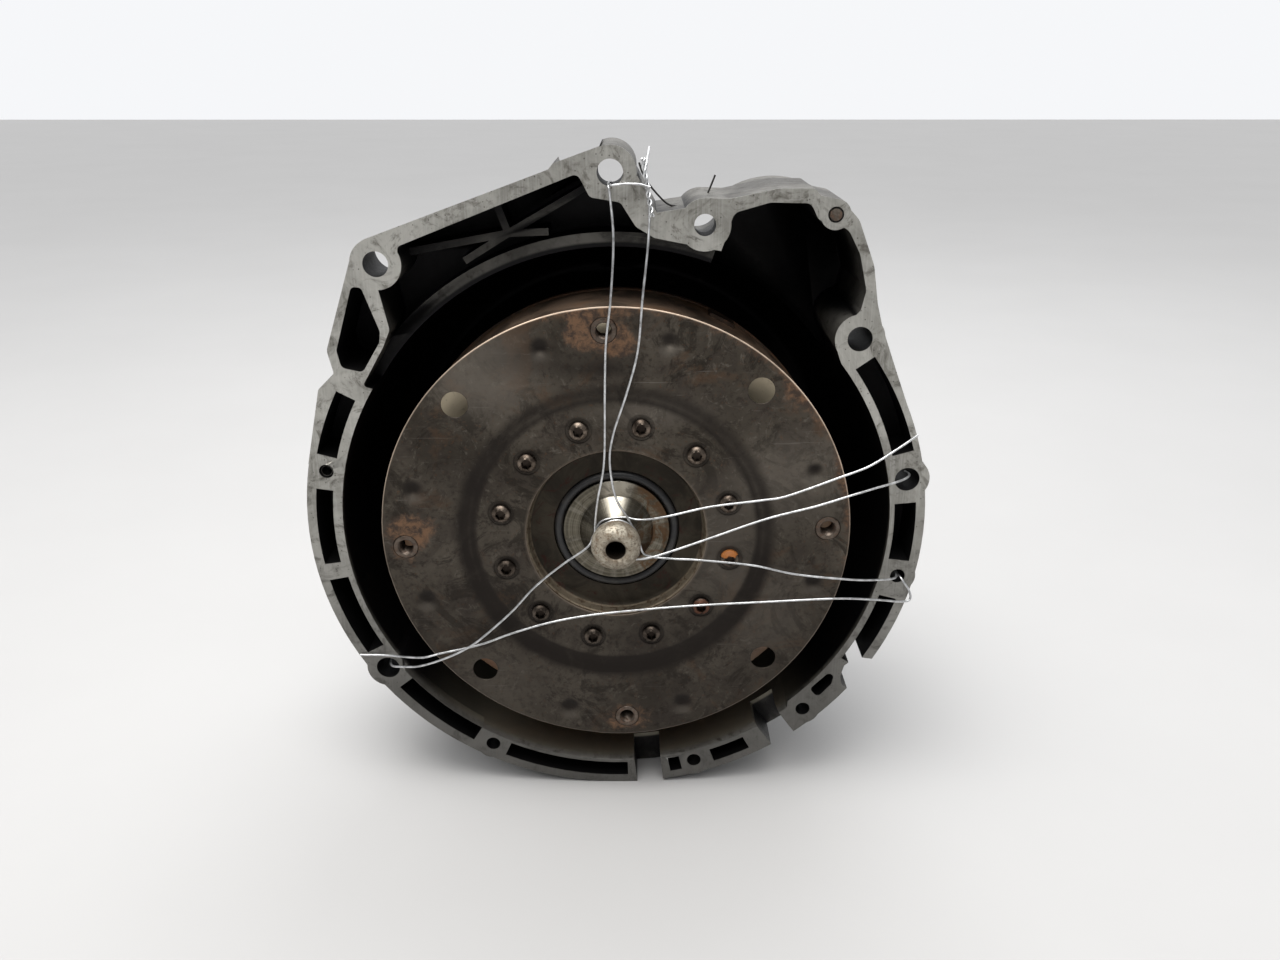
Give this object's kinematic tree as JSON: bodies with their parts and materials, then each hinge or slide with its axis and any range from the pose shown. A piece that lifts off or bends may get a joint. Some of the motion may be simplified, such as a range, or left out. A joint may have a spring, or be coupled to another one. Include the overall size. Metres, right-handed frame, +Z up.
{
  "type": "torque converter in bell housing",
  "caption": "Hydraulic torque converter with lock-up clutch and drive plate, carried in its gearbox bell housing with the oil pump and input shaft.",
  "frame": {"origin": "middle of the circle of drive bolts, where the crank axis meets the drive plate's front face", "axes": "-Y along the crank axis towards the engine, +Z up with the starter motor pocket at the upper right, +X right as the engine sees it"},
  "size_m": [0.4063, 0.25, 0.4455],
  "materials": {
    "cast_aluminium": "rough cast, stained, machined on the flange face",
    "machined_aluminium": "machined",
    "pressed_steel": "dark oiled pressed steel with rust",
    "rusty_steel": "rust brown",
    "machined_steel": "turned",
    "hardened_steel": "ground",
    "screw_steel": "dark, polished by handling",
    "inner_steel": "clean oiled pressed steel",
    "black_rubber": "matte",
    "bronze": "satin",
    "friction_paper": "porous paper",
    "galvanised_wire": "bright drawn wire"
  },
  "bodies": {
    "housing": {"bell_housing": "cast_aluminium", "flange_pin": "machined_steel", "pump_body": "machined_aluminium", "pump_seal": "black_rubber", "pump_bushing": "bronze", "pump_cover": "machined_aluminium", "pump_bolts": "screw_steel", "stator_shaft": "machined_steel", "clutch_inner_race": "hardened_steel", "wire_top": "galvanised_wire", "wire_right": "galvanised_wire", "wire_left": "galvanised_wire", "wire_cross": "galvanised_wire"},
    "converter": {"drive_plate": "pressed_steel", "drive_nuts": "rusty_steel", "plate_screws": "screw_steel", "front_cover": "rusty_steel", "pilot_hub": "machined_steel", "hub_ring": "black_rubber", "impeller_shell": "rusty_steel", "impeller_blades": "inner_steel", "impeller_core": "inner_steel", "impeller_hub": "machined_steel", "balance_weights": "screw_steel", "rear_thrust_bearing": "hardened_steel", "pump_inner_rotor": "machined_steel"},
    "pump_outer_rotor": {"pump_outer_rotor": "machined_steel"},
    "turbine": {"turbine_shell": "inner_steel", "turbine_blades": "inner_steel", "turbine_core": "inner_steel", "turbine_hub": "machined_steel", "turbine_rivets": "screw_steel", "damper_driven_plate": "inner_steel", "piston_seal": "black_rubber", "front_thrust_bearing": "hardened_steel", "input_shaft": "machined_steel"},
    "damper": {"damper_retainer": "inner_steel", "damper_springs": "hardened_steel"},
    "lockup_piston": {"lockup_piston": "inner_steel", "friction_lining": "friction_paper"},
    "stator": {"stator_wheel": "machined_aluminium", "clutch_outer_race": "hardened_steel", "clutch_rollers": "hardened_steel", "clutch_cage": "bronze", "middle_thrust_bearing": "hardened_steel"}
  },
  "joints": [
    {"name": "converter_spin", "type": "hinge", "parent": "housing", "child": "converter", "pos_m": [0, 0, 0], "axis": [0, -1, 0], "continuous": true},
    {"name": "pump_outer_rotor_spin", "type": "hinge", "parent": "housing", "child": "pump_outer_rotor", "pos_m": [0, 0.158, -0.0043], "axis": [0, -1, 0], "continuous": true},
    {"name": "turbine_spin", "type": "hinge", "parent": "housing", "child": "turbine", "pos_m": [0, 0, 0], "axis": [0, -1, 0], "continuous": true},
    {"name": "damper_windup", "type": "hinge", "parent": "turbine", "child": "damper", "pos_m": [0, 0, 0], "axis": [0, -1, 0], "range_deg": [-5, 5], "stiffness_Nm_per_rad": 400, "deforming": ["damper_springs"]},
    {"name": "lockup_travel", "type": "slide", "parent": "damper", "child": "lockup_piston", "axis": [0, -1, 0], "range_m": [0, 0.0012]},
    {"name": "stator_spin", "type": "hinge", "parent": "housing", "child": "stator", "pos_m": [0, 0, 0], "axis": [0, -1, 0], "continuous": true}
  ],
  "couplings": [
    {"joint": "pump_outer_rotor_spin", "follows": "converter_spin", "ratio": 0.9}
  ]
}
